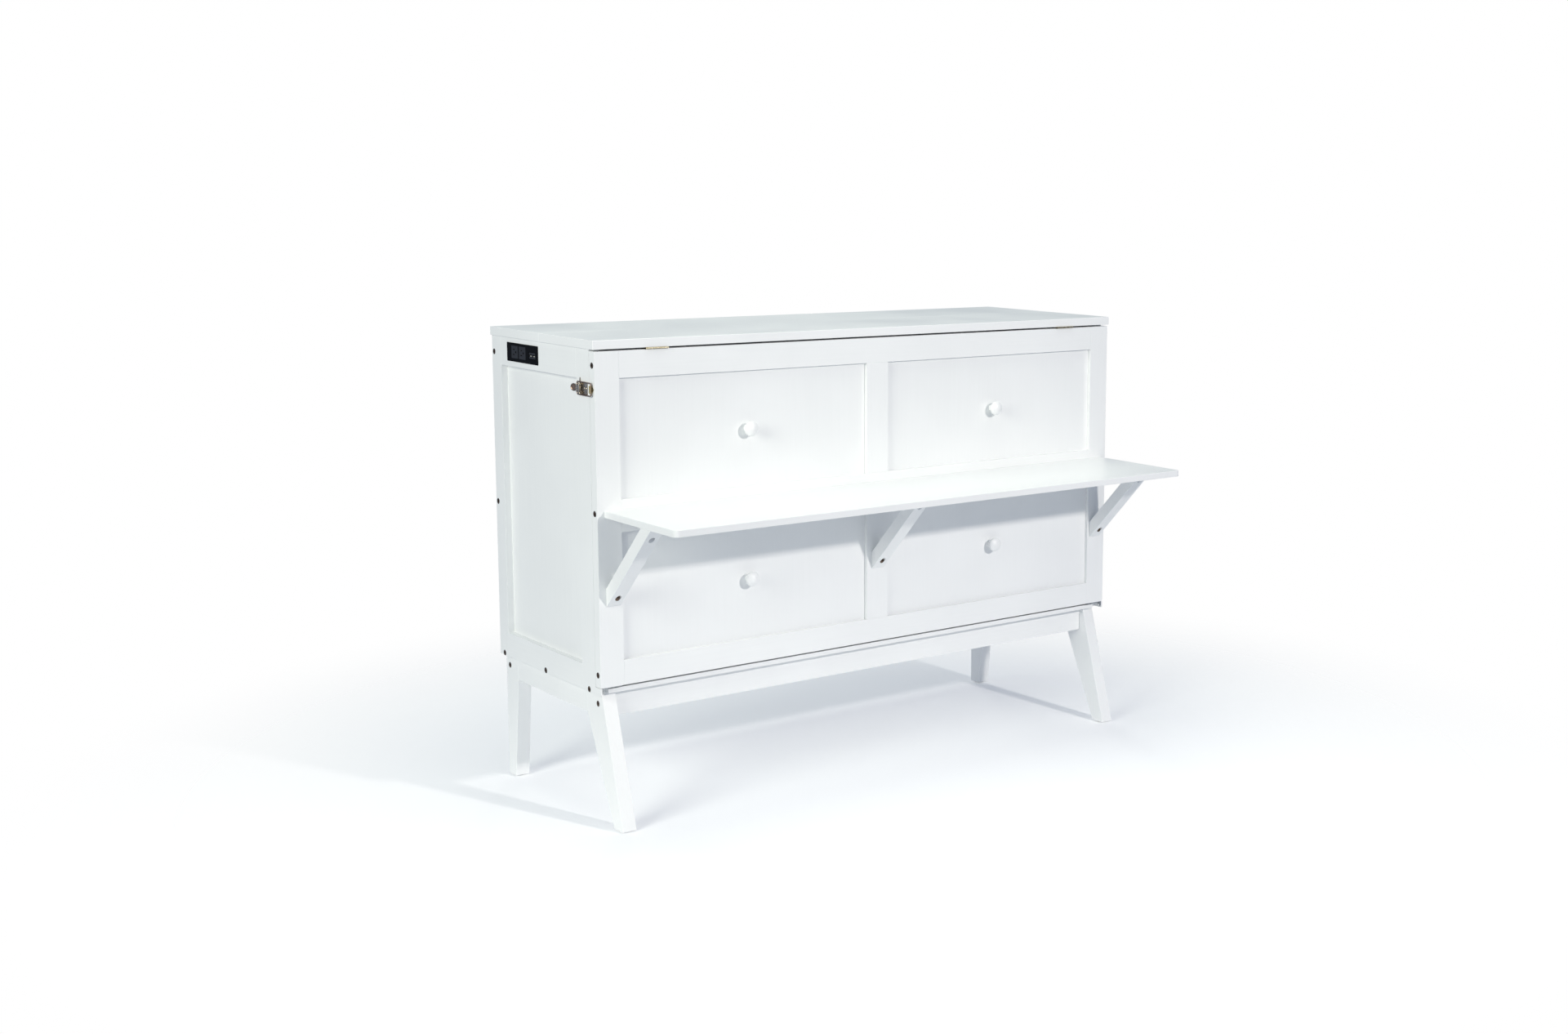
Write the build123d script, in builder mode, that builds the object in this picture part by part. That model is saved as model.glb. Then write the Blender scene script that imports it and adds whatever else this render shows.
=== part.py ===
from build123d import *
import os

# Cabinet murphy bed, closed. Millimetres, +Z up, front towards -Y.
# The origin is on the floor, in the middle of the footprint.

# Driving dimensions
lid_width = 1651
body_width = 1642
body_depth = 550
shelf_reach = 330
total_height = 1190
lid_thickness = 22
base_top = 331
panel_bottom = 349.5
lid_gap = 4.5
member = 27
seam_from_face = 278
leg_width = 37
base_inset = 16
groove = 5
ease = 0.6

# Planes worked out from them
half_lid = lid_width / 2
half_body = body_width / 2
half_inner = half_body - member
half_base = half_body - base_inset
face_y = shelf_reach - (body_depth + shelf_reach) / 2
back_y = face_y + body_depth
inner_y = face_y + member
side_front = inner_y + 1
lid_under = total_height - lid_thickness
panel_top = lid_under - lid_gap
seam_y = face_y + seam_from_face

# Front panel grid
stile = 64
center_stile = 69
top_rail_z = 1098
middle_rail_z = (726, 806)
bottom_rail_z = 411.5
field_y = (face_y + 10, face_y + 16)

# Side wall grid
side_front_stile = 66
side_rear_stile = 50
side_top_rail_z = 1095
side_bottom_rail_z = 394
side_field_x = (half_inner + 4, half_inner + 10)

# Axes of the moving pieces, all along X: (y, z)
drop_axis = (face_y + 5, 338)
lid_axis = (face_y - 3, lid_under - 2.25)
fold_axis = (inner_y + 13.5, 1154)
deck_top = drop_axis[1] + inner_y + 12 - drop_axis[0]
foot_top = fold_axis[1] - 16
foot_length = 655
foot_bottom = foot_top - foot_length
foot_frame_y = (fold_axis[0] + 13.5, fold_axis[0] + 41.5)
foot_half = 770
leg_axis = (fold_axis[0] + 27.5, foot_bottom + 48)
foot_leg_reach = 344

# Latch: u is the distance out from the side wall
latch_z = 1073
lever_axis = (-45, 6)
loop_axis = (-33, 6)
wire_radius = 1.5

os.makedirs("parts", exist_ok=True)


def save(piece, name):
    """Label a finished piece and write its STEP file."""
    piece.part.label = name
    export_step(piece.part, f"parts/{name}.step")


def slab(x, y, z, mode=Mode.ADD):
    """A rectangular board between three pairs of limits."""
    with Locations(((x[0] + x[1]) / 2, (y[0] + y[1]) / 2, (z[0] + z[1]) / 2)):
        Box(abs(x[1] - x[0]), abs(y[1] - y[0]), abs(z[1] - z[0]), mode=mode)


def board(x, y, z, radius=ease):
    """A board with all its edges eased."""
    slab(x, y, z)
    fillet(edges(Select.LAST), radius)


def mirrored(x):
    """A pair of X limits, on the other side of the middle."""
    return (-x[1], -x[0])


def both_sides(x):
    """A pair of X limits and its mirror image."""
    return (x, mirrored(x))


def rod(axis, center, radius, length, mode=Mode.ADD):
    """A round rod along X, Y or Z."""
    turn = {"x": (0, 90, 0), "y": (90, 0, 0), "z": (0, 0, 0)}[axis]
    with Locations(center):
        Cylinder(radius, length, rotation=turn, mode=mode)


def spread(low, high, width, count):
    """Limits of equal boards, evenly spaced from low to high."""
    pitch = (high - low - width) / (count - 1)
    return [(low + i * pitch, low + i * pitch + width) for i in range(count)]


# Bolts: a flat barrel head let in flush, on a plain shank
head_radius = 7.5
head_depth = 3
shank_radius = 3


def bolt_envelope(x, y, z, length, mode=Mode.ADD):
    """One bolt along X, its head on the outer face at x."""
    way = 1 if x > 0 else -1
    rod("x", (x - way * head_depth / 2, y, z), head_radius, head_depth, mode)
    rod("x", (x - way * length / 2, y, z), shank_radius, length, mode)


def hex_socket_x(x, y, z):
    """The socket in a bolt head that faces out along X."""
    way = 1 if x > 0 else -1
    with BuildSketch(Plane(origin=(x, y, z), x_dir=(0, 1, 0), z_dir=(way, 0, 0))) as socket:
        RegularPolygon(3.2, 6)
    extrude(socket.sketch, amount=-2.2, mode=Mode.SUBTRACT)


bolt_length = 45
side_bolt_spots = [
    (back_y - 11, 1126),
    (back_y - 11, 737),
    (back_y - 25, base_top + 5.5),
    (181, base_top + 5.5),
    (-50, base_top + 5.5),
]
leg_bolt_spots = [(back_y - 20, 300), (face_y + 47, 300)]
edge_bolt_spots = [(face_y + 13.5, 1130), (face_y + 13.5, 775), (face_y + 13.5, 380)]


def bolt_holes(spots, x, length):
    for way in (-1, 1):
        for y, z in spots:
            bolt_envelope(way * x, y, z, length, Mode.SUBTRACT)


# Side walls: two stiles and two rails round a thin panel
power_y = (183, 347)
power_z = (1112, 1153)
toe_x = (half_body - 4, half_body)
toe_rear = -60
field_limits_y = (side_front + side_front_stile - groove, back_y - side_rear_stile + groove)
field_limits_z = (side_bottom_rail_z - groove, side_top_rail_z + groove)


def side_stiles(x, slot, toe):
    board(x, (side_front, side_front + side_front_stile), (base_top, lid_under))
    board(x, (back_y - side_rear_stile, back_y), (base_top, lid_under))
    slab(slot, field_limits_y, field_limits_z, Mode.SUBTRACT)
    slab(toe, (side_front, toe_rear), (base_top, panel_bottom - 1), Mode.SUBTRACT)
    bolt_holes(side_bolt_spots, half_body, bolt_length)


def side_rails(x, slot):
    y = (side_front + side_front_stile, back_y - side_rear_stile)
    board(x, y, (base_top, side_bottom_rail_z))
    board(x, y, (side_top_rail_z, lid_under))
    slab(slot, y, field_limits_z, Mode.SUBTRACT)
    slab((-half_body, -half_inner), power_y, power_z, Mode.SUBTRACT)
    bolt_holes(side_bolt_spots, half_body, bolt_length)


wall_x, wall_slot, wall_toe = (half_inner, half_body), side_field_x, toe_x
for side in ("right", "left"):
    with BuildPart() as stiles:
        side_stiles(wall_x, wall_slot, wall_toe)
    save(stiles, f"{side}_side_stiles")
    with BuildPart() as rails:
        side_rails(wall_x, wall_slot)
    save(rails, f"{side}_side_rails")
    with BuildPart() as field:
        slab(wall_slot, field_limits_y, field_limits_z)
    save(field, f"{side}_side_panel")
    wall_x, wall_slot, wall_toe = mirrored(wall_x), mirrored(wall_slot), mirrored(wall_toe)

# Back: a framed pair of thin panels between the side walls
back_front = back_y - 22
back_field_y = (back_front + 8, back_front + 14)
back_rail = 70
back_field_z = (base_top + back_rail - groove, lid_under - back_rail + groove)
back_field_x = (center_stile / 2 - groove, half_inner - back_rail + groove)

with BuildPart() as back_stiles:
    for x in both_sides((half_inner - back_rail, half_inner)):
        board(x, (back_front, back_y), (base_top, lid_under))
    middle = (-center_stile / 2, center_stile / 2)
    board(middle, (back_front, back_y), (base_top + back_rail, lid_under - back_rail))
    for x in both_sides(back_field_x):
        slab(x, back_field_y, back_field_z, Mode.SUBTRACT)
    bolt_holes(side_bolt_spots, half_body, bolt_length)
save(back_stiles, "back_stiles")

with BuildPart() as back_rails:
    x = (back_rail - half_inner, half_inner - back_rail)
    board(x, (back_front, back_y), (base_top, base_top + back_rail))
    board(x, (back_front, back_y), (lid_under - back_rail, lid_under))
    for field_x in both_sides(back_field_x):
        slab(field_x, back_field_y, back_field_z, Mode.SUBTRACT)
save(back_rails, "back_rails")

with BuildPart() as back_panels:
    for x in both_sides(back_field_x):
        slab(x, back_field_y, back_field_z)
save(back_panels, "back_panels")

# Floor: a panel on the base, bearers on it, and the slats of the first bed section
floor_z = (base_top, base_top + 11)
slat_z = (deck_top - 15, deck_top)
deck_y = (-60, back_front - 8)

with BuildPart() as floor_panel:
    slab((-half_inner, half_inner), (face_y + 13, back_front), floor_z)
    bolt_holes(side_bolt_spots, half_body, bolt_length)
save(floor_panel, "floor_panel")

with BuildPart() as floor_bearers:
    for center in (-760, -380, 0, 380, 760):
        slab((center - 20, center + 20), deck_y, (floor_z[1], slat_z[0]))
save(floor_bearers, "floor_bearers")

with BuildPart() as floor_slats:
    for y in spread(deck_y[0], deck_y[1], 78, 5):
        board((4 - half_inner, half_inner - 4), y, slat_z, 2)
save(floor_slats, "floor_slats")

# Base: splayed front legs, upright rear legs, and the aprons between them
glide_height = 3
apron_bottom = 269
front_knee = -7.5
rear_knee = back_y - 67
front_foot = (-177.5, -133.5)
rear_foot = (back_y, back_y - 40)
front_leg_outline = [
    (face_y + 28.5, base_top),
    (front_foot[0], glide_height),
    (front_foot[1], glide_height),
    (front_knee, apron_bottom),
    (front_knee, base_top),
]
rear_leg_outline = [
    (back_y, base_top),
    (rear_foot[0], glide_height),
    (rear_foot[1], glide_height),
    (rear_knee, apron_bottom),
    (rear_knee, base_top),
]
leg_x = (half_base - leg_width, half_base)


def leg_pair(outline, knee):
    """A tapered leg and its mirror image, with a rounded knee under the apron."""
    for x in both_sides(leg_x):
        with BuildSketch(Plane.YZ.offset(x[0])) as side_view:
            with BuildLine():
                Polyline(*outline, close=True)
            make_face()
        extrude(side_view.sketch, amount=leg_width)
        fillet(edges(Select.LAST), 1)
    for way in (-1, 1):
        bolt_envelope(way * half_base, knee[0], knee[1], 30, Mode.SUBTRACT)


with BuildPart() as front_legs:
    leg_pair(front_leg_outline, leg_bolt_spots[1])
save(front_legs, "front_legs")

with BuildPart() as rear_legs:
    leg_pair(rear_leg_outline, leg_bolt_spots[0])
save(rear_legs, "rear_legs")

front_apron_y = (face_y + 41.5, face_y + 63.5)
rear_apron_y = (back_y - 25, back_y - 3)

with BuildPart() as long_aprons:
    x = (leg_width - half_base, half_base - leg_width)
    board(x, front_apron_y, (apron_bottom - 5, base_top))
    board(x, rear_apron_y, (apron_bottom, base_top))
save(long_aprons, "long_aprons")

with BuildPart() as side_aprons:
    for x in both_sides((half_base - 25, half_base)):
        board(x, (front_knee, rear_knee), (apron_bottom, base_top))
save(side_aprons, "side_aprons")

with BuildPart() as center_bearer:
    board((-22, 22), (front_apron_y[1], rear_apron_y[0]), (apron_bottom + 6, base_top))
save(center_bearer, "center_bearer")

with BuildPart() as foot_glides:
    for x in (leg_width / 2 - half_base, half_base - leg_width / 2):
        for y in (sum(front_foot) / 2, sum(rear_foot) / 2):
            rod("z", (x, y, glide_height / 2), 13, glide_height)
save(foot_glides, "foot_glides")

# Lid: a fixed rear board and a hinged front board
with BuildPart() as lid_rear_board:
    board((-half_lid, half_lid), (seam_y, back_y), (lid_under, total_height), 1.2)
save(lid_rear_board, "lid_rear_board")

with BuildPart() as lid_front_board:
    board((-half_lid, half_lid), (face_y - 1.5, seam_y - 0.6), (lid_under, total_height), 1.2)
save(lid_front_board, "lid_front_board")

# Power unit in the left side's top rail
plate_out = 1.5
socket_y = [(288, 325), (246, 283)]
socket_z = (1117, 1149)

with BuildPart() as power_housing:
    slab((-half_body, -half_body + 46), power_y, power_z)
    slab((-half_body - plate_out, -half_body), (180, 351), (1108.5, 1156))
    for y in socket_y:
        slab((-half_body - plate_out, -half_body + 20), y, socket_z, Mode.SUBTRACT)
    slab((-half_body - plate_out, -half_body + 14), (192, 230), (1121, 1139), Mode.SUBTRACT)
save(power_housing, "power_housing")

with BuildPart() as power_sockets:
    face = -half_body - plate_out - 0.6
    slot_x = (face, -half_body + 12)
    for y in socket_y:
        middle_y = (y[0] + y[1]) / 2
        middle_z = (socket_z[0] + socket_z[1]) / 2
        slab((face, -half_body + 20), y, socket_z)
        for z in (middle_z - 6.35, middle_z + 6.35):
            slab(slot_x, (middle_y + 2, middle_y + 10), (z - 1.1, z + 1.1), Mode.SUBTRACT)
        rod("x", (face + 7, middle_y - 6, middle_z), 2.6, 14, Mode.SUBTRACT)
save(power_sockets, "power_sockets")

with BuildPart() as usb_ports:
    for y in ((196, 209), (213, 226)):
        slab((-half_body - plate_out + 0.3, -half_body + 14), (y[0] - 2, y[1] + 2), (1122, 1138))
        slab((-half_body - plate_out, -half_body + 10), y, (1127, 1133.5), Mode.SUBTRACT)
        slab((-half_body, -half_body + 11), (y[0] + 1, y[1] - 1), (1129.2, 1131.2))
save(usb_ports, "usb_ports")

with BuildPart() as cord_gland:
    rod("z", (-half_body + 36.5, 330, 1109), 6, 6)
    with Locations((-half_body + 36.5, 330, 1097)):
        Cone(3.5, 5, 18)
save(cord_gland, "cord_gland")

# Drop pivots: a toe plate with a pin at each side, and a bracket under the front panel
pin_radius = 3
pivot_x = (half_body - 10, half_body)

with BuildPart() as pivot_plates:
    for x in both_sides(toe_x):
        slab(x, (face_y + 0.5, toe_rear), (base_top, panel_bottom - 1))
    for x in both_sides(pivot_x):
        rod("x", ((x[0] + x[1]) / 2, *drop_axis), pin_radius, 10)
save(pivot_plates, "pivot_plates")

with BuildPart() as pivot_brackets:
    arm_y = (drop_axis[0] - 4.5, drop_axis[0] + 4.5)
    for x in both_sides((half_body - 10, half_body - 5)):
        slab(x, arm_y, (drop_axis[1], panel_bottom))
        rod("x", ((x[0] + x[1]) / 2, *drop_axis), 4.5, 5)
    for x in both_sides((half_body - 58, half_body - 5)):
        slab(x, (face_y + 0.5, inner_y - 5), (panel_bottom - 2, panel_bottom))
    rod("x", (0, *drop_axis), pin_radius + 0.05, body_width, Mode.SUBTRACT)
save(pivot_brackets, "pivot_brackets")

# Front panel: stiles and rails round four thin panels
half_center = center_stile / 2
field_rows = ((bottom_rail_z, middle_rail_z[0]), (middle_rail_z[1], top_rail_z))
shelf_z = (765.3, 782)
shelf_half = 802
brace_width = 38
brace_centers = (brace_width / 2 - shelf_half, 0, shelf_half - brace_width / 2)
brace_drop = 218
brace_rise = 46
lower_bolt_z = shelf_z[0] - brace_drop + 24.7
upper_bolt_y = face_y - brace_drop + 28


def field_pockets(mode):
    """The four thin panels, or the grooves that hold them."""
    for x in both_sides((half_center - groove, half_body - stile + groove)):
        for low, high in field_rows:
            slab(x, field_y, (low - groove, high + groove), mode)


def brace_bolt_holes():
    """A level hole into the stile and an upright one into the shelf, for each brace."""
    for x in brace_centers:
        rod("y", (x, face_y - 3, lower_bolt_z), shank_radius, 46, Mode.SUBTRACT)
        rod("z", (x, upper_bolt_y, shelf_z[0] - 6), shank_radius, 34, Mode.SUBTRACT)


with BuildPart() as front_outer_stiles:
    for x in both_sides((half_body - stile, half_body)):
        board(x, (face_y, inner_y), (panel_bottom, panel_top))
    field_pockets(Mode.SUBTRACT)
    bolt_holes(edge_bolt_spots, half_body, bolt_length)
    brace_bolt_holes()
save(front_outer_stiles, "front_outer_stiles")

with BuildPart() as front_center_stiles:
    for z in field_rows:
        board((-half_center, half_center), (face_y, inner_y), z)
    field_pockets(Mode.SUBTRACT)
    brace_bolt_holes()
save(front_center_stiles, "front_center_stiles")

rail_rows = {
    "front_bottom_rail": (panel_bottom, bottom_rail_z),
    "front_middle_rail": middle_rail_z,
    "front_top_rail": (top_rail_z, panel_top),
}
for name, z in rail_rows.items():
    with BuildPart() as rail:
        board((stile - half_body, half_body - stile), (face_y, inner_y), z)
        field_pockets(Mode.SUBTRACT)
    save(rail, name)

# Knobs, each turned as one piece and held by a screw from behind
knob_spots = [(x, (z[0] + z[1]) / 2) for x in (-397, 397) for z in field_rows]
knob_length = 32
field_front = field_y[0]

with BuildPart() as front_field_panels:
    field_pockets(Mode.ADD)
    for x, z in knob_spots:
        rod("y", (x, field_front, z), 2, 30, Mode.SUBTRACT)
save(front_field_panels, "front_field_panels")

with BuildPart() as knobs:
    for x, z in knob_spots:
        with BuildSketch(Plane(origin=(x, field_front, z), x_dir=(1, 0, 0), z_dir=(0, 0, 1))):
            with BuildLine():
                foot = Line((2, 0), (9.5, 0))
                neck = ThreePointArc(foot @ 1, (7.5, -8), (9, -15))
                under = Line(neck @ 1, (17.5, -17.5))
                rim = ThreePointArc(under @ 1, (19, -21), (18, -25))
                TangentArc((0, -knob_length), rim @ 1, tangent=(1, 0))
                Polyline((0, -knob_length), (0, -15), (2, -15), (2, 0))
            make_face()
        revolve(axis=Axis((x, field_front, z), (0, 1, 0)))
save(knobs, "knobs")

with BuildPart() as knob_screws:
    for x, z in knob_spots:
        rod("y", (x, field_front - 4.5, z), 2, 21)
        with Locations(Location((x, field_y[1] + 1.2, z), (90, 0, 0))):
            Cone(4.5, 3, 2.4)
save(knob_screws, "knob_screws")

# Slats on the front panel's inner face: the middle bed section
with BuildPart() as front_slats:
    for z in spread(362, 1124, 70, 8):
        board((-785, 785), (inner_y, inner_y + 12), z, 2)
save(front_slats, "front_slats")

# Shelf and its braces
with BuildPart() as shelf:
    slab((-shelf_half, shelf_half), (face_y - shelf_reach, face_y), shelf_z)
    fillet(shelf.edges().filter_by(Axis.Z).group_by(Axis.Y)[0], 12)
    fillet(shelf.faces().sort_by(Axis.Z)[-1].edges(), 1.2)
    fillet(shelf.faces().sort_by(Axis.Z)[0].edges(), 1.2)
    brace_bolt_holes()
save(shelf, "shelf")


with BuildPart() as shelf_braces:
    for x in brace_centers:
        with BuildSketch(Plane.YZ.offset(x - brace_width / 2)):
            with BuildLine():
                Polyline(
                    (face_y, shelf_z[0] - brace_drop),
                    (face_y - brace_drop, shelf_z[0]),
                    (face_y - brace_drop + brace_rise, shelf_z[0]),
                    (face_y, shelf_z[0] - brace_drop + brace_rise),
                    close=True,
                )
            make_face()
        extrude(amount=brace_width)
        fillet(edges(Select.LAST), 1)
    for x in brace_centers:
        rod("y", (x, face_y - 36, lower_bolt_z), head_radius, 40, Mode.SUBTRACT)
        rod("z", (x, upper_bolt_y, shelf_z[0] - 36), head_radius, 40, Mode.SUBTRACT)
    brace_bolt_holes()
save(shelf_braces, "shelf_braces")

with BuildPart() as front_bolts:
    for x in brace_centers:
        rod("y", (x, face_y - 18, lower_bolt_z), head_radius, 4)
        rod("z", (x, upper_bolt_y, shelf_z[0] - 18), head_radius, 4)
        with BuildSketch(Plane.XZ.offset(20 - face_y)):
            with Locations((x, lower_bolt_z)):
                RegularPolygon(3.2, 6)
        extrude(amount=-2.4, mode=Mode.SUBTRACT)
        with BuildSketch(Plane.XY.offset(shelf_z[0] - 20)):
            with Locations((x, upper_bolt_y)):
                RegularPolygon(3.2, 6)
        extrude(amount=2.4, mode=Mode.SUBTRACT)
        rod("y", (x, face_y + 2, lower_bolt_z), shank_radius, 36)
        rod("z", (x, upper_bolt_y, shelf_z[0] - 2.5), shank_radius, 27)
    for way in (-1, 1):
        for y, z in edge_bolt_spots:
            bolt_envelope(way * half_body, y, z, bolt_length)
            hex_socket_x(way * half_body, y, z)
save(front_bolts, "front_bolts")

with BuildPart() as cabinet_bolts:
    for way in (-1, 1):
        for y, z in side_bolt_spots:
            bolt_envelope(way * half_body, y, z, bolt_length)
            hex_socket_x(way * half_body, y, z)
        for y, z in leg_bolt_spots:
            bolt_envelope(way * half_base, y, z, 30)
            hex_socket_x(way * half_base, y, z)
save(cabinet_bolts, "cabinet_bolts")


def hinge_leaves(sites, length, count, first, axis, knuckle, bore, plate, web):
    """Leaves of a row of hinges: a plate, every other knuckle, and the webs between them."""
    segment = length / count
    for site in sites:
        slab((site - length / 2, site + length / 2), *plate)
        for i in range(first, count, 2):
            x = site - length / 2 + i * segment
            slab((x + 0.3, x + segment - 0.3), *web)
            rod("x", (x + segment / 2, *axis), knuckle, segment - 0.6)
        rod("x", (site, *axis), bore, length, Mode.SUBTRACT)


# Lid hinges: small brass butts between the front panel and the lid's front board
lid_sites = (-655, 655)
lid_hinge = 62
lid_knuckle = 2.1
lid_pin = 1
lid_leaf = (face_y, face_y + 20)
lid_web = (lid_axis[0], face_y)

with BuildPart() as lid_hinge_lower_leaves:
    plate = (lid_leaf, (panel_top, panel_top + 1.2))
    web = (lid_web, (panel_top + 0.3, panel_top + 1.2))
    hinge_leaves(lid_sites, lid_hinge, 3, 0, lid_axis, lid_knuckle, lid_pin, plate, web)
save(lid_hinge_lower_leaves, "lid_hinge_lower_leaves")

with BuildPart() as lid_hinge_upper_leaves:
    plate = (lid_leaf, (lid_under - 1.2, lid_under))
    web = (lid_web, (lid_under - 1.2, lid_under - 0.3))
    hinge_leaves(lid_sites, lid_hinge, 3, 1, lid_axis, lid_knuckle, lid_pin + 0.05, plate, web)
save(lid_hinge_upper_leaves, "lid_hinge_upper_leaves")

with BuildPart() as lid_hinge_pins:
    for site in lid_sites:
        rod("x", (site, *lid_axis), lid_pin, lid_hinge)
save(lid_hinge_pins, "lid_hinge_pins")

# Fold hinges: steel hinges between the front panel and the foot section
fold_sites = (-560, 0, 560)
fold_hinge = 90
fold_knuckle = 4.5
fold_pin = 2.5

with BuildPart() as fold_hinge_front_leaves:
    plate = ((inner_y, inner_y + 2.2), (fold_axis[1] - 26, fold_axis[1] + 6))
    web = ((inner_y + 2.2, fold_axis[0]), (fold_axis[1] - 4, fold_axis[1] + 4))
    hinge_leaves(fold_sites, fold_hinge, 5, 0, fold_axis, fold_knuckle, fold_pin, plate, web)
save(fold_hinge_front_leaves, "fold_hinge_front_leaves")

with BuildPart() as fold_hinge_foot_leaves:
    plate = ((fold_axis[0] - 4, fold_axis[0] + 37.5), (foot_top, foot_top + 2))
    web = ((fold_axis[0] - 4, fold_axis[0] + 4), (foot_top + 2, fold_axis[1]))
    hinge_leaves(fold_sites, fold_hinge, 5, 1, fold_axis, fold_knuckle, fold_pin + 0.05, plate, web)
save(fold_hinge_foot_leaves, "fold_hinge_foot_leaves")

with BuildPart() as fold_hinge_pins:
    for site in fold_sites:
        rod("x", (site, *fold_axis), fold_pin, fold_hinge)
save(fold_hinge_pins, "fold_hinge_pins")

# Foot section: side rails, cross rails and slats
rail_width = 32
leg_pin_radius = 4
leg_pin_x = (foot_half - 80, foot_half - 4)

with BuildPart() as foot_side_rails:
    for x in both_sides((foot_half - rail_width, foot_half)):
        board(x, foot_frame_y, (foot_bottom, foot_top))
    for x in both_sides(leg_pin_x):
        rod("x", ((x[0] + x[1]) / 2, *leg_axis), leg_pin_radius, 76, Mode.SUBTRACT)
save(foot_side_rails, "foot_side_rails")

with BuildPart() as foot_cross_rails:
    x = (rail_width - foot_half, foot_half - rail_width)
    for low, high in ((0, 30), (417, 457), (foot_length - 30, foot_length)):
        board(x, foot_frame_y, (foot_bottom + low, foot_bottom + high))
save(foot_cross_rails, "foot_cross_rails")

with BuildPart() as foot_slats:
    for z in spread(foot_bottom + 3, foot_top - 3, 70, 7):
        board((-foot_half, foot_half), (foot_frame_y[0] - 12, foot_frame_y[0]), z, 2)
save(foot_slats, "foot_slats")

with BuildPart() as leg_pins:
    for x in both_sides(leg_pin_x):
        rod("x", ((x[0] + x[1]) / 2, *leg_axis), leg_pin_radius, 76)
save(leg_pins, "leg_pins")

# Folding foot leg: two posts and two rails
post_x = (foot_half - 78, foot_half - 38)
post_y = (leg_axis[0] - 12, leg_axis[0] + 12)
post_top = leg_axis[1] + foot_leg_reach

with BuildPart() as foot_leg_posts:
    for x in both_sides(post_x):
        slab(x, post_y, (leg_axis[1], post_top))
        rod("x", ((x[0] + x[1]) / 2, *leg_axis), 12, 40)
    rod("x", (0, *leg_axis), leg_pin_radius + 0.05, 2 * foot_half, Mode.SUBTRACT)
save(foot_leg_posts, "foot_leg_posts")

with BuildPart() as foot_leg_rails:
    x = (-post_x[0], post_x[0])
    board(x, post_y, (post_top - 40, post_top))
    board(x, post_y, (leg_axis[1] + 70, leg_axis[1] + 110))
save(foot_leg_rails, "foot_leg_rails")


# Draw latches, made for the left side and mirrored for the right
def latch_x(out):
    return -half_body - out


def strap(out, y, z):
    slab((latch_x(out[1]), latch_x(out[0])), y, z)


def latch_base():
    strap((0, 1.6), (-76, -30), (latch_z - 16, latch_z + 16))
    strap((0, 1.6), (-42, -35), (latch_z + 16, latch_z + 25))
    for z in ((latch_z - 13, latch_z - 11), (latch_z + 11, latch_z + 13)):
        strap((1.6, 10), (lever_axis[0] - 6, lever_axis[0] + 6), z)
    rod("z", (latch_x(lever_axis[1]), lever_axis[0], latch_z), wire_radius, 26)


def latch_lever():
    rod("z", (latch_x(lever_axis[1]), lever_axis[0], latch_z), 3.5, 21)
    rod("z", (latch_x(loop_axis[1]), loop_axis[0], latch_z), 3.3, 16)
    strap((4.5, 7.5), (lever_axis[0], -20), (latch_z - 8, latch_z + 8))
    plane = Plane(origin=(latch_x(7.5), -17, latch_z), x_dir=(0, 1, 0), z_dir=(1, 0, 0))
    with BuildSketch(plane) as thumb_plate:
        SlotOverall(26, 19)
    extrude(thumb_plate.sketch, amount=3)
    for y, out in (lever_axis, loop_axis):
        rod("z", (latch_x(out), y, latch_z), wire_radius + 0.05, 30, Mode.SUBTRACT)


def latch_loop():
    low, high, tip = latch_z - 15.5, latch_z + 15.5, -101
    plane = Plane(origin=(latch_x(loop_axis[1]), 0, 0), x_dir=(0, 1, 0), z_dir=(1, 0, 0))
    with BuildLine(plane) as wire:
        corners = [(loop_axis[0], low), (tip, low), (tip, high), (loop_axis[0], high)]
        FilletPolyline(*corners, radius=[2, 5, 5, 2], close=True)
    with BuildSketch(Plane(origin=wire.line @ 0, z_dir=wire.line % 0)) as section:
        Circle(wire_radius)
    sweep(section.sketch, path=wire.line)


def latch_keeper():
    middle = face_y + 15
    plane = Plane(origin=(latch_x(0), middle, latch_z), x_dir=(0, 1, 0), z_dir=(-1, 0, 0))
    with BuildSketch(plane) as diamond:
        with BuildLine():
            Polyline((-11, 0), (0, 15.5), (11, 0), (0, -15.5), close=True)
        make_face()
    extrude(diamond.sketch, amount=1.5)
    strap((1.5, 5), (middle - 4, middle + 2), (latch_z - 9, latch_z + 9))
    rod("z", (latch_x(5), middle - 1, latch_z), 3, 18)


def save_mirrored(piece, name):
    """Write the right-hand copy of a left-hand piece."""
    with BuildPart() as copy:
        add(mirror(piece.part, about=Plane.YZ, mode=Mode.PRIVATE))
    save(copy, name)


with BuildPart() as latch_bases:
    latch_base()
    mirror(latch_bases.part, about=Plane.YZ)
save(latch_bases, "latch_bases")

with BuildPart() as latch_keepers:
    latch_keeper()
    mirror(latch_keepers.part, about=Plane.YZ)
save(latch_keepers, "latch_keepers")

with BuildPart() as latch_lever_left:
    latch_lever()
save(latch_lever_left, "latch_lever_left")
save_mirrored(latch_lever_left, "latch_lever_right")

with BuildPart() as latch_loop_left:
    latch_loop()
save(latch_loop_left, "latch_loop_left")
save_mirrored(latch_loop_left, "latch_loop_right")
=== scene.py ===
import math

import bmesh
import bpy
from mathutils import Euler, Matrix, Vector


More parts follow.
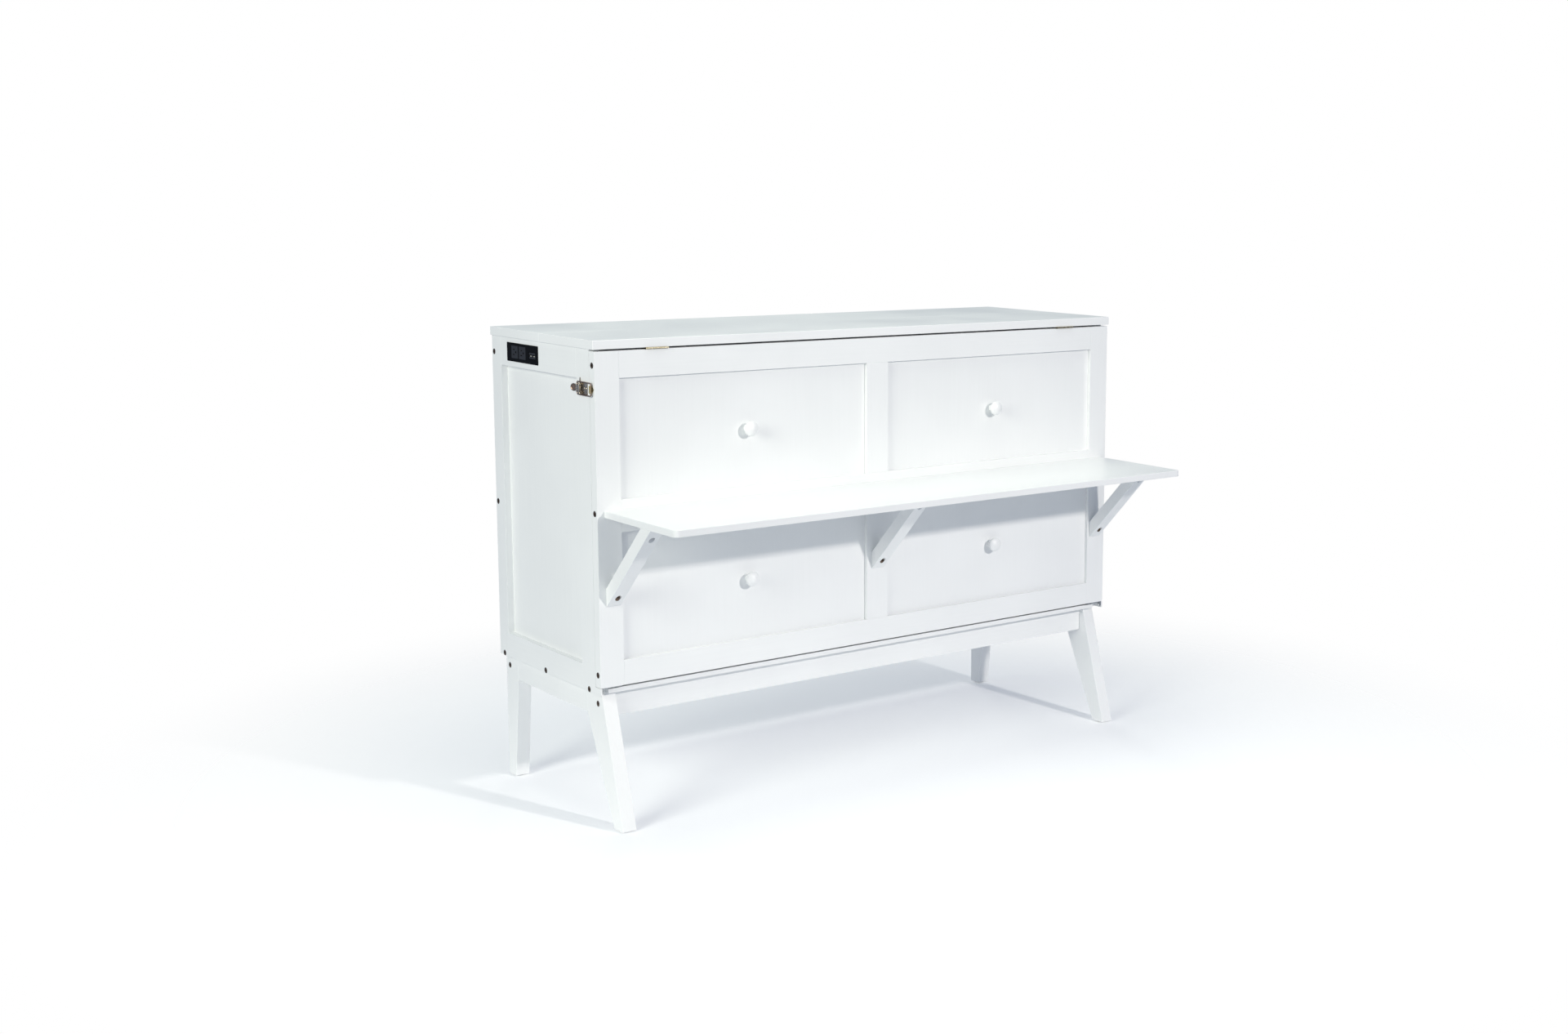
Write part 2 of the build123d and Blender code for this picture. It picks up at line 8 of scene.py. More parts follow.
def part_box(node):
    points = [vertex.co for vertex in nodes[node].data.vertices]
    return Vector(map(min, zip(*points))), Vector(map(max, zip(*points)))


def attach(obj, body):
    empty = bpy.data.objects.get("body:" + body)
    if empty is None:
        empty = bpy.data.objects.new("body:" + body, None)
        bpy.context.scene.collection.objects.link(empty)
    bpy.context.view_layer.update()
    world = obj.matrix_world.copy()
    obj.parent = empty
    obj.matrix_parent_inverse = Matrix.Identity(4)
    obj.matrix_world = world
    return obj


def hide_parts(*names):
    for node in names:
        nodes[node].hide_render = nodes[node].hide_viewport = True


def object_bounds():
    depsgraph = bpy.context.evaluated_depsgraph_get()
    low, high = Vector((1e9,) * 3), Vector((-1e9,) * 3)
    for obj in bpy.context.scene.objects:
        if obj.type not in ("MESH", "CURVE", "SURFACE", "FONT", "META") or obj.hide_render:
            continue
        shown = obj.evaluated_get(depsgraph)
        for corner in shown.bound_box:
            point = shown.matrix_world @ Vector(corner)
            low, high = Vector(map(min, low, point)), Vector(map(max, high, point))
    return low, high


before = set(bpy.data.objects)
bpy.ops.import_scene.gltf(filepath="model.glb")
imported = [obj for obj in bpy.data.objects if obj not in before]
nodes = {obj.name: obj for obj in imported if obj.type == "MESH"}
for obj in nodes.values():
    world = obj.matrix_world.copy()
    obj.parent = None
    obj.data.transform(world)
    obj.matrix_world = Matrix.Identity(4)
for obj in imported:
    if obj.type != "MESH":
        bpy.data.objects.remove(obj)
cad_low, cad_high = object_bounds()
bpy.ops.object.select_all(action="DESELECT")


# ---- Base: legs, aprons and bearer --------------------------------------------------
# Solid rubberwood legs and aprons, planed, sanded and sprayed with satin white lacquer
# over a primer. The legs are bolted through the floor panel; the aprons are dowelled.
MM = 0.001


def linear(hex_colour):
    """An sRGB hex colour as the linear colour that a shader socket takes."""
    channels = [int(hex_colour[i : i + 2], 16) / 255 for i in (1, 3, 5)]
    return [c / 12.92 if c <= 0.04045 else ((c + 0.055) / 1.055) ** 2.4 for c in channels] + [1]


def add_node(tree, kind, settings=None, values=None, links=None):
    """A node with its settings, its input values and the sockets that feed it."""
    node = tree.nodes.new(kind)
    for name, value in (settings or {}).items():
        setattr(node, name, value)
    for name, value in (values or {}).items():
        node.inputs[name].default_value = value
    for name, socket in (links or {}).items():
        tree.links.new(socket, node.inputs[name])
    return node


def new_finish(name, roughness, metallic=0.0, ior=1.5):
    """A material with its shader's constant values set, and its node tree."""
    finish = bpy.data.materials.new(name)
    finish.use_nodes = True
    shader = finish.node_tree.nodes["Principled BSDF"]
    shader.inputs["Roughness"].default_value = roughness
    shader.inputs["Metallic"].default_value = metallic
    shader.inputs["IOR"].default_value = ior
    return finish, finish.node_tree, shader


def set_finish(finish, *names):
    """Gives CAD nodes this finish in place of their plain one."""
    for name in names:
        node = nodes[name]
        if not node.data.materials:
            node.data.materials.append(finish)
        for slot in node.material_slots:
            slot.material = finish


def along_grain(tree, across, along, grain):
    """Object coordinates in streaks: across and along are the streak's real sizes in mm."""
    scale = [1 / (across * MM)] * 3
    scale["xyz".index(grain)] = 1 / (along * MM)
    place = add_node(tree, "ShaderNodeTexCoord").outputs["Object"]
    mapping = add_node(tree, "ShaderNodeMapping", None, {"Scale": scale}, {"Vector": place})
    return mapping.outputs["Vector"]


def lacquered_wood(name, grain, tone="#EEF0F1", shade="#EBEDEE"):
    """Sprayed satin lacquer over sanded hardwood: an even white, with the grain just felt.

    Real pores are about 0.2 mm wide, too fine to show from here, so the streaks are drawn
    5 mm wide, and the orange peel of the spray 3 mm wide.
    """
    finish, tree, shader = new_finish(name, roughness=0.34, ior=1.5)
    streaks = add_node(
        tree,
        "ShaderNodeTexNoise",
        None,
        {"Scale": 1.0, "Detail": 4.0, "Roughness": 0.6},
        {"Vector": along_grain(tree, 5, 220, grain)},
    )
    clouds = add_node(
        tree,
        "ShaderNodeTexNoise",
        None,
        {"Scale": 4.0, "Detail": 2.0},
        {"Vector": add_node(tree, "ShaderNodeTexCoord").outputs["Object"]},
    )
    blend = add_node(
        tree,
        "ShaderNodeMath",
        {"operation": "MULTIPLY_ADD"},
        {1: 0.6},
        {0: streaks.outputs["Fac"], 2: clouds.outputs["Fac"]},
    )
    ramp = add_node(tree, "ShaderNodeValToRGB", None, None, {"Fac": blend.outputs[0]})
    ramp.color_ramp.elements[0].position = 0.6
    ramp.color_ramp.elements[0].color = linear(shade)
    ramp.color_ramp.elements[1].position = 1.0
    ramp.color_ramp.elements[1].color = linear(tone)
    sheen_change = add_node(
        tree,
        "ShaderNodeMapRange",
        None,
        {"From Min": 0.3, "From Max": 0.7, "To Min": 0.29, "To Max": 0.4},
        {"Value": clouds.outputs["Fac"]},
    )
    peel = add_node(
        tree,
        "ShaderNodeTexNoise",
        None,
        {"Scale": 330.0, "Detail": 1.0},
        {"Vector": add_node(tree, "ShaderNodeTexCoord").outputs["Object"]},
    )
    grain_bump = add_node(
        tree,
        "ShaderNodeBump",
        None,
        {"Strength": 0.12, "Distance": 0.0003},
        {"Height": streaks.outputs["Fac"]},
    )
    bump = add_node(
        tree,
        "ShaderNodeBump",
        None,
        {"Strength": 0.12, "Distance": 0.0002},
        {"Height": peel.outputs["Fac"], "Normal": grain_bump.outputs["Normal"]},
    )
    tree.links.new(ramp.outputs["Color"], shader.inputs["Base Color"])
    tree.links.new(sheen_change.outputs["Result"], shader.inputs["Roughness"])
    tree.links.new(bump.outputs["Normal"], shader.inputs["Normal"])
    return finish


lacquer = {axis: lacquered_wood(f"satin_white_lacquer_{axis}", axis) for axis in "xyz"}
set_finish(lacquer["z"], "front_legs", "rear_legs")
set_finish(lacquer["x"], "long_aprons")
set_finish(lacquer["y"], "side_aprons", "center_bearer")


# ---- Foot glides --------------------------------------------------------------------
# Round nylon glides nailed under each leg, so that the cabinet slides without scratching.
# Moulded polyamide: milky, slightly translucent in look, dulled by wear underneath.
def moulded_plastic(name, colour, shade, roughness, grit=1.2):
    """Moulded plastic with a fine spark texture; the grit is its spacing in mm."""
    finish, tree, shader = new_finish(name, roughness, ior=1.49)
    place = add_node(tree, "ShaderNodeTexCoord").outputs["Object"]
    spark = add_node(
        tree,
        "ShaderNodeTexNoise",
        None,
        {"Scale": 1 / (grit * MM), "Detail": 3.0},
        {"Vector": place},
    )
    ramp = add_node(tree, "ShaderNodeValToRGB", None, None, {"Fac": spark.outputs["Fac"]})
    ramp.color_ramp.elements[0].position = 0.35
    ramp.color_ramp.elements[0].color = linear(shade)
    ramp.color_ramp.elements[1].position = 0.65
    ramp.color_ramp.elements[1].color = linear(colour)
    bump = add_node(
        tree,
        "ShaderNodeBump",
        None,
        {"Strength": 0.15, "Distance": 0.0001},
        {"Height": spark.outputs["Fac"]},
    )
    tree.links.new(ramp.outputs["Color"], shader.inputs["Base Color"])
    tree.links.new(bump.outputs["Normal"], shader.inputs["Normal"])
    return finish


set_finish(moulded_plastic("moulded_nylon", "#DEDDD8", "#CFCEC8", 0.55), "foot_glides")


# ---- Side walls ---------------------------------------------------------------------
# Frame and panel: two stiles, two rails and a thin board panel let into grooves. All are
# lacquered before assembly, which leaves the fine joint lines between stile and rail.
for side in ("left", "right"):
    set_finish(lacquer["z"], f"{side}_side_stiles", f"{side}_side_panel")
    set_finish(lacquer["y"], f"{side}_side_rails")


# ---- Back and lid -------------------------------------------------------------------
# The back is a framed pair of panels. The lid is two flat boards, edge glued, lacquered
# on all sides: the rear one screwed down, the front one hinged to the front panel.
set_finish(lacquer["z"], "back_stiles", "back_panels")
set_finish(lacquer["x"], "back_rails", "lid_rear_board", "lid_front_board")


# ---- Front panel and desk shelf -----------------------------------------------------
# Stiles and rails round four thin panels that read as drawer fronts, with a flat desk
# shelf on three mitred braces. Turned beech knobs, lacquered with the rest.
set_finish(
    lacquer["z"], "front_outer_stiles", "front_center_stiles", "shelf_braces", "front_field_panels"
)
set_finish(
    lacquer["x"], "front_bottom_rail", "front_middle_rail", "front_top_rail", "shelf", "knobs"
)


# ---- Slats and bearers --------------------------------------------------------------
# Sawn and sanded New Zealand pine, left bare: pale straw earlywood, narrow ochre latewood
# lines about 4 mm apart, here and there a small knot. Screwed to the bearers.
def bare_pine(name, grain):
    """Bare pine, its growth lines stretched along the grain."""
    finish, tree, shader = new_finish(name, roughness=0.62, ior=1.5)
    long_way = along_grain(tree, 26, 900, grain)
    drift = add_node(
        tree,
        "ShaderNodeTexNoise",
        None,
        {"Scale": 1.0, "Detail": 3.0, "Distortion": 0.4},
        {"Vector": long_way},
    )
    rings = add_node(
        tree,
        "ShaderNodeMath",
        {"operation": "MULTIPLY"},
        {1: 9.0},
        {0: drift.outputs["Fac"]},
    )
    saw = add_node(tree, "ShaderNodeMath", {"operation": "FRACT"}, None, {0: rings.outputs[0]})
    colours = add_node(tree, "ShaderNodeValToRGB", None, None, {"Fac": saw.outputs[0]})
    ramp = colours.color_ramp
    ramp.elements[0].color = linear("#E6CDA4")
    ramp.elements[1].color = linear("#DDBE8E")
    latewood = ramp.elements.new(0.86)
    latewood.color = linear("#C89C64")
    start = ramp.elements.new(0.68)
    start.color = linear("#E0C497")
    fibre = add_node(
        tree,
        "ShaderNodeTexNoise",
        None,
        {"Scale": 1.0, "Detail": 5.0},
        {"Vector": along_grain(tree, 2, 60, grain)},
    )
    bump = add_node(
        tree,
        "ShaderNodeBump",
        None,
        {"Strength": 0.3, "Distance": 0.0004},
        {"Height": fibre.outputs["Fac"]},
    )
    tree.links.new(colours.outputs["Color"], shader.inputs["Base Color"])
    tree.links.new(bump.outputs["Normal"], shader.inputs["Normal"])
    return finish


set_finish(bare_pine("bare_pine_x", "x"), "floor_slats", "front_slats", "foot_slats")
set_finish(bare_pine("bare_pine_y", "y"), "floor_bearers")


# ---- Floor panel, foot section and its leg ------------------------------------------
# The floor panel is lacquered like the outside, because its front edge shows under the
# front panel. The folding foot section and its swing leg get a thinner coat, a touch warmer.
inner = {
    axis: lacquered_wood(f"thin_white_lacquer_{axis}", axis, "#E9E8E4", "#DDDCD7") for axis in "xz"
}
set_finish(lacquer["x"], "floor_panel")
set_finish(inner["x"], "foot_cross_rails", "foot_leg_rails")
set_finish(inner["z"], "foot_side_rails", "foot_leg_posts")


# ---- Hinges, pivots and pins --------------------------------------------------------
# Pressed steel leaves and turned pins, zinc plated: grey with a faint blue-yellow bloom.
# The small lid butts are drawn brass. The toe plates are steel, lacquered like the wood.
def worked_metal(name, colour, shade, roughness, scratch=0.8):
    """Plated or solid metal: cloudy colour, fine handling scratches; scratch is in mm."""
    finish, tree, shader = new_finish(name, roughness, metallic=1.0)
    place = add_node(tree, "ShaderNodeTexCoord").outputs["Object"]
    bloom = add_node(
        tree,
        "ShaderNodeTexNoise",
        None,
        {"Scale": 160.0, "Detail": 3.0, "Roughness": 0.6},
        {"Vector": place},
    )
    ramp = add_node(tree, "ShaderNodeValToRGB", None, None, {"Fac": bloom.outputs["Fac"]})
    ramp.color_ramp.elements[0].position = 0.38
    ramp.color_ramp.elements[0].color = linear(shade)
    ramp.color_ramp.elements[1].position = 0.62
    ramp.color_ramp.elements[1].color = linear(colour)
    wear = add_node(
        tree,
        "ShaderNodeMapRange",
        None,
        {"To Min": roughness * 0.7, "To Max": min(1.0, roughness * 1.35)},
        {"Value": bloom.outputs["Fac"]},
    )
    marks = add_node(
        tree,
        "ShaderNodeTexNoise",
        None,
        {"Scale": 1 / (scratch * MM), "Detail": 2.0},
        {"Vector": place},
    )
    bump = add_node(
        tree,
        "ShaderNodeBump",
        None,
        {"Strength": 0.2, "Distance": 0.00008},
        {"Height": marks.outputs["Fac"]},
    )
    tree.links.new(ramp.outputs["Color"], shader.inputs["Base Color"])
    tree.links.new(wear.outputs["Result"], shader.inputs["Roughness"])
    tree.links.new(bump.outputs["Normal"], shader.inputs["Normal"])
    return finish


zinc = worked_metal("zinc_plated_steel", "#C4C6C8", "#A9ACAE", 0.32)
brass = worked_metal("drawn_brass", "#C6BDA6", "#A3977C", 0.34)
set_finish(
    zinc,
    "fold_hinge_front_leaves",
    "fold_hinge_foot_leaves",
    "fold_hinge_pins",
    "leg_pins",
    "pivot_brackets",
    "knob_screws",
)
set_finish(brass, "lid_hinge_lower_leaves", "lid_hinge_upper_leaves", "lid_hinge_pins")
set_finish(lacquer["y"], "pivot_plates")


# ---- Bolts --------------------------------------------------------------------------
# Furniture bolts: a cold-headed steel barrel head with a broached hexagon socket, let in
# flush, in a dark oil-rubbed bronze plating that wears lighter on the rim.
bronze = worked_metal("oil_rubbed_bronze", "#85766A", "#594D44", 0.42, scratch=1.5)
HEAD_RADIUS = 7.5 * MM
HEAD_DEPTH = 3 * MM
SHANK_RADIUS = 3 * MM
SOCKET_RADIUS = 3.4 * MM
SOCKET_DEPTH = 2.2 * MM


def select_faces(mesh_object, test):
    """In edit mode, selects the faces whose centre and normal pass the test."""
    bpy.ops.object.mode_set(mode="EDIT")
    bpy.ops.mesh.select_mode(type="FACE")
    bpy.ops.mesh.select_all(action="DESELECT")
    bpy.ops.object.mode_set(mode="OBJECT")
    for face in mesh_object.data.polygons:
        face.select = test(face.center, face.normal)
    bpy.ops.object.mode_set(mode="EDIT")


def apply_all(piece):
    """Applies a piece's modifiers and its place, so that its object sits at the origin."""
    bpy.ops.object.select_all(action="DESELECT")
    piece.select_set(True)
    bpy.context.view_layer.objects.active = piece
    bpy.ops.object.transform_apply(location=True, rotation=True, scale=True)
    for modifier in list(piece.modifiers):
        bpy.ops.object.modifier_apply(modifier=modifier.name)


def cut(piece, tool):
    """Cuts the tool's shape out of the piece, and removes the tool."""
    bpy.ops.object.select_all(action="DESELECT")
    piece.select_set(True)
    bpy.context.view_layer.objects.active = piece
    difference = piece.modifiers.new("cut", "BOOLEAN")
    difference.operation = "DIFFERENCE"
    difference.solver = "EXACT"
    difference.object = tool
    bpy.ops.object.modifier_apply(modifier="cut")
    bpy.data.objects.remove(tool)


def ease_edges(piece, width, segments=2, limit=35):
    """Rounds a piece's sharp edges by width, in metres."""
    bevel = piece.modifiers.new("eased", "BEVEL")
    bevel.width = width
    bevel.segments = segments
    bevel.limit_method = "ANGLE"
    bevel.angle_limit = math.radians(limit)
    apply_all(piece)


def even_shading(piece):
    """Smooths the eased edges and leaves the flat faces flat."""
    bpy.ops.object.select_all(action="DESELECT")
    piece.select_set(True)
    bpy.context.view_layer.objects.active = piece
    bpy.ops.object.shade_smooth_by_angle(angle=math.radians(35))
    flat_faces = piece.modifiers.new("flat_faces", "WEIGHTED_NORMAL")
    flat_faces.keep_sharp = True
    apply_all(piece)


def join(name, parts):
    """Joins parts into one piece with that name."""
    bpy.ops.object.select_all(action="DESELECT")
    for part in parts:
        part.select_set(True)
    bpy.context.view_layer.objects.active = parts[0]
    if len(parts) > 1:
        bpy.ops.object.join()
    piece = bpy.context.view_layer.objects.active
    piece.name = name
    even_shading(piece)
    return piece


def solids_of(node):
    """The box of each separate solid in a CAD node, from a merged copy of its mesh."""
    work = bmesh.new()
    work.from_mesh(nodes[node].data)
    bmesh.ops.remove_doubles(work, verts=work.verts, dist=1e-6)
    left = set(work.verts)
    boxes = []
    while left:
        seed = left.pop()
        reached, queue = [seed], [seed]
        while queue:
            for edge in queue.pop().link_edges:
                for vert in edge.verts:
                    if vert in left:
                        left.remove(vert)
                        reached.append(vert)
                        queue.append(vert)
        low = Vector([min(v.co[i] for v in reached) for i in range(3)])
        high = Vector([max(v.co[i] for v in reached) for i in range(3)])
        boxes.append((low, high))
    work.free()
    return sorted(boxes, key=lambda box: tuple(round(c, 5) for c in box[0]))


def socket_bolt(length):
    """One bolt along Z with its head's face at the origin and its shank below it."""
    bpy.ops.mesh.primitive_cylinder_add(
        vertices=32, radius=HEAD_RADIUS, depth=HEAD_DEPTH, location=(0, 0, -HEAD_DEPTH / 2)
    )
    bolt = bpy.context.object
    apply_all(bolt)
    select_faces(bolt, lambda centre, normal: normal.z < -0.9)
    bpy.ops.mesh.inset(thickness=HEAD_RADIUS - SHANK_RADIUS)
    bpy.ops.mesh.extrude_region_move(TRANSFORM_OT_translate={"value": (0, 0, HEAD_DEPTH - length)})
    bpy.ops.object.mode_set(mode="OBJECT")
    bpy.ops.mesh.primitive_cylinder_add(vertices=6, radius=SOCKET_RADIUS, depth=2 * SOCKET_DEPTH)
    cut(bolt, bpy.context.object)
    ease_edges(bolt, 0.5 * MM)
    bolt.data.materials.append(bronze)
    return bolt


def bolts_for(name, node, body):
    """A bolt for each solid of a CAD node of bolts, its head on the solid's outer end."""
    copies = []
    for low, high in solids_of(node):
        size, middle = high - low, (low + high) / 2
        axis = max(range(3), key=lambda i: size[i])
        outward = Vector((0, 0, 0))
        outward[axis] = math.copysign(1, middle.x) if axis == 0 else -1
        head = middle + outward * size[axis] / 2
        bolt = socket_bolt(size[axis])
        turn = outward.to_track_quat("Z", "Y").to_matrix().to_4x4()
        bolt.data.transform(Matrix.Translation(head) @ turn)
        copies.append(bolt)
    piece = join(name, copies)
    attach(piece, body)
    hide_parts(node)


bolts_for("socket_bolts_cabinet", "cabinet_bolts", "cabinet")
bolts_for("socket_bolts_front", "front_bolts", "front_panel")


# ---- Power unit ---------------------------------------------------------------------
# A snap-in outlet unit: a gloss black ABS bezel and case, two dark grey outlet blocks with
# their earth hole towards the front, and two USB ports with pale tongues.
gloss_black = moulded_plastic("gloss_black_abs", "#050505", "#030303", 0.16, grit=6)
gloss_black.node_tree.nodes["Principled BSDF"].inputs["Specular IOR Level"].default_value = 0.05
outlet_grey = moulded_plastic("dark_grey_polycarbonate", "#1B1B1D", "#151516", 0.34)
tongue_white = moulded_plastic("pale_pbt_tongue", "#C9C9C4", "#B9B9B4", 0.4)


def block(low, high):
    """A block between two corners, ready to be shaped."""
    low, high = Vector(low), Vector(high)
    bpy.ops.mesh.primitive_cube_add(size=1, location=(low + high) / 2, scale=high - low)
    piece = bpy.context.object
    apply_all(piece)
    return piece


def round_corners(piece, axis, radius, segments=5):
    """Rounds a block's edges that run along one axis."""
    bpy.ops.object.mode_set(mode="EDIT")
    bpy.ops.mesh.select_mode(type="EDGE")
    bpy.ops.mesh.select_all(action="DESELECT")
    bpy.ops.object.mode_set(mode="OBJECT")
    for edge in piece.data.edges:
        run = piece.data.vertices[edge.vertices[0]].co - piece.data.vertices[edge.vertices[1]].co
        edge.select = abs(run[axis]) > 0.99 * run.length
    bpy.ops.object.mode_set(mode="EDIT")
    bpy.ops.mesh.bevel(offset=radius, segments=segments, affect="EDGES")
    bpy.ops.object.mode_set(mode="OBJECT")


unit_low, unit_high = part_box("power_housing")
outlets = solids_of("power_sockets")
usb_low, usb_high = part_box("usb_ports")
wall_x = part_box("left_side_rails")[0].x
BEZEL_CORNER = 2.5 * MM
case_low = (wall_x - 0.2 * MM, unit_low.y + 3 * MM, unit_low.z + 3.5 * MM)
case_high = (unit_high.x, unit_high.y - 4 * MM, unit_high.z - 3 * MM)

bezel = block(unit_low, (wall_x, unit_high.y, unit_high.z))
round_corners(bezel, 0, BEZEL_CORNER)
case = block(case_low, case_high)
union = bezel.modifiers.new("case", "BOOLEAN")
union.operation = "UNION"
union.object = case
apply_all(bezel)
bpy.data.objects.remove(case)
for low, high in outlets:
    window = block(low - Vector((2, 0, 0)) * MM, high)
    cut(bezel, window)
bay = block(usb_low - Vector((4, 2, 1)) * MM, usb_high + Vector((0, 2, 1)) * MM)
cut(bezel, bay)
ease_edges(bezel, 0.35 * MM)
bezel.data.materials.append(gloss_black)
power_case = join("power_unit_case", [bezel])
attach(power_case, "cabinet")
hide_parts("power_housing")

SLOT_PITCH = 12.7 * MM
EARTH_OFFSET = 11.9 * MM
EARTH_RADIUS = 2.6 * MM
blade_half = Vector((16, 4, 1.1)) * MM
outlet_blocks = []
for low, high in outlets:
    outlet = block(low, high)
    middle = (low + high) / 2
    blade_y = middle.y + EARTH_OFFSET / 2
    for up in (-1, 1):
        centre = Vector((low.x, blade_y, middle.z + up * SLOT_PITCH / 2))
        cut(outlet, block(centre - blade_half, centre + blade_half))
    bpy.ops.mesh.primitive_cylinder_add(
        vertices=20,
        radius=EARTH_RADIUS,
        depth=30 * MM,
        location=(low.x, blade_y - EARTH_OFFSET, middle.z),
        rotation=(0, math.pi / 2, 0),
    )
    earth = bpy.context.object
    apply_all(earth)
    cut(outlet, earth)
    ease_edges(outlet, 0.9 * MM)
    outlet.data.materials.append(outlet_grey)
    outlet_blocks.append(outlet)
outlet_pair = join("outlet_blocks", outlet_blocks)
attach(outlet_pair, "cabinet")
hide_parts("power_sockets")

PORT_PITCH = 17 * MM
mouth_half = Vector((12, 6.5, 2.9)) * MM
tongue_half = Vector((5.2, 5.4, 0.9)) * MM
usb_middle = (usb_low + usb_high) / 2
shells, tongues = [], []
for way in (-1, 1):
    y = usb_middle.y + way * PORT_PITCH / 2
    shell = block(
        (usb_low.x, y - 8.4 * MM, usb_low.z + 0.2 * MM),
        (usb_high.x, y + 8.4 * MM, usb_high.z - 0.2 * MM),
    )
    centre = Vector((usb_low.x, y, usb_middle.z))
    cut(shell, block(centre - mouth_half, centre + mouth_half))
    ease_edges(shell, 0.3 * MM)
    shell.data.materials.append(outlet_grey)
    shells.append(shell)
    centre = Vector((usb_low.x + 6.9 * MM, y, usb_middle.z - 1.2 * MM))
    tongue = block(centre - tongue_half, centre + tongue_half)
    ease_edges(tongue, 0.25 * MM)
    tongue.data.materials.append(tongue_white)
    tongues.append(tongue)
usb_shells = join("usb_port_shells", shells)
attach(usb_shells, "cabinet")
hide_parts("usb_ports")
usb_tongues = join("usb_port_tongues", tongues)
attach(usb_tongues, "cabinet")

# The gland that takes the lead through the rail, in the same black plastic, moulded matt
# so that it grips: a flange and a tapered sleeve, pushed in from below.
set_finish(moulded_plastic("matt_black_rubber", "#1B1B1C", "#141415", 0.7), "cord_gland")


# ---- Draw latches -------------------------------------------------------------------
# A draw latch on each side: a stamped steel base with a pivoting thumb lever, a bent wire
# loop that hooks over a keeper, all nickel plated over brass and gone warm with age.
aged_nickel = worked_metal("aged_nickel_plate", "#D3CABB", "#B5AB9C", 0.25)
worn_nickel = worked_metal("worn_nickel_plate", "#A89284", "#8D7869", 0.36)
olive_brass = worked_metal("worn_olive_brass", "#B5AA78", "#93865A", 0.33)
lever_low, lever_high = solids_of("latch_lever_left")[0]
loop_low, loop_high = solids_of("latch_loop_left")[0]
WIRE = (loop_high.x - loop_low.x) / 2
pivot_y = lever_low.y + 3.5 * MM
loop_pin_y = loop_high.y - WIRE
latch_z = (lever_low.z + lever_high.z) / 2
PLATE = 1.5 * MM
THUMB_RADIUS = 9.4 * MM
THUMB_TURN = math.radians(16)


def screw_head(centre, radius):
    """A small domed screw head with a cross recess, facing out to the left."""
    bpy.ops.mesh.primitive_uv_sphere_add(segments=20, ring_count=10, radius=radius)
    head = bpy.context.object
    head.scale.z = 0.55
    apply_all(head)
    bpy.ops.object.mode_set(mode="EDIT")
    bpy.ops.mesh.select_all(action="SELECT")
    bpy.ops.mesh.bisect(plane_co=(0, 0, 0), plane_no=(0, 0, 1), clear_inner=True, use_fill=True)
    bpy.ops.object.mode_set(mode="OBJECT")
    for size in ((0.45, 0.12), (0.12, 0.45)):
        half = Vector((size[0] * radius, size[1] * radius, 0.25 * radius))
        top = Vector((0, 0, 0.55 * radius))
        cut(head, block(top - half, top + half))
    turn = Matrix.Rotation(-math.pi / 2, 4, "Y")
    head.data.transform(Matrix.Translation(centre) @ turn)
    head.data.materials.append(aged_nickel)
    return head


def latch_base_plate():
    """The base: a screwed plate with a raised pointed tab, two pivot ears and a pin."""
    low, high = solids_of("latch_bases")[0]
    plate_top = 2 * latch_z - low.z
    plate = block((high.x - PLATE, low.y, low.z), (high.x, high.y, plate_top))
    round_corners(plate, 0, 3 * MM)
    ease_edges(plate, 0.4 * MM)
    tab_y = high.y - 8.5 * MM
    tab_low = (high.x - PLATE, tab_y - 3.5 * MM, plate_top - 2 * MM)
    tab = block(tab_low, (high.x, tab_y + 3.5 * MM, high.z))
    select_faces(tab, lambda centre, normal: normal.z > 0.9)
    bpy.ops.transform.resize(value=(1, 0.3, 1), center_override=(high.x, tab_y, high.z))
    bpy.ops.object.mode_set(mode="OBJECT")
    ease_edges(tab, 0.4 * MM)
    parts = [plate, tab]
    for z in (low.z + 3 * MM, plate_top - 5 * MM):
        ear_low = (high.x - 10 * MM, pivot_y - 6 * MM, z)
        ear = block(ear_low, (high.x - 1 * MM, pivot_y + 6 * MM, z + 2 * MM))
        round_corners(ear, 2, 4 * MM)
        ease_edges(ear, 0.3 * MM)
        parts.append(ear)
    bpy.ops.mesh.primitive_cylinder_add(
        vertices=24, radius=WIRE, depth=29 * MM, location=(high.x - 6 * MM, pivot_y, latch_z)
    )
    pin = bpy.context.object
    ease_edges(pin, 0.4 * MM)
    parts.append(pin)
    for part in parts:
        part.data.materials.append(aged_nickel)
    for y in (low.y + 7 * MM, low.y + 17 * MM):
        parts.append(screw_head(Vector((high.x - PLATE, y, latch_z)), 3 * MM))
    return join("latch_base_plate_left", parts)


def latch_thumb_plate(place):
    """A dished oval for the thumb, turned a little outwards at its free end."""
    bpy.ops.mesh.primitive_cylinder_add(
        vertices=40, radius=THUMB_RADIUS, depth=1.8 * MM, rotation=(0, math.pi / 2, 0)
    )
    plate = bpy.context.object
    plate.scale.y = 1.15
    apply_all(plate)
    plate.data.materials.append(aged_nickel)
    plate.data.materials.append(worn_nickel)
    select_faces(plate, lambda centre, normal: normal.x < -0.9)
    bpy.ops.mesh.inset(thickness=1.5 * MM)
    plate.active_material_index = 1
    bpy.ops.object.material_slot_assign()
    bpy.ops.mesh.inset(thickness=1.2 * MM)
    bpy.ops.transform.translate(value=(0.8 * MM, 0, 0))
    bpy.ops.object.mode_set(mode="OBJECT")
    ease_edges(plate, 0.35 * MM, limit=20)
    plate.data.transform(Matrix.Translation(place) @ Matrix.Rotation(THUMB_TURN, 4, "Z"))
    return plate


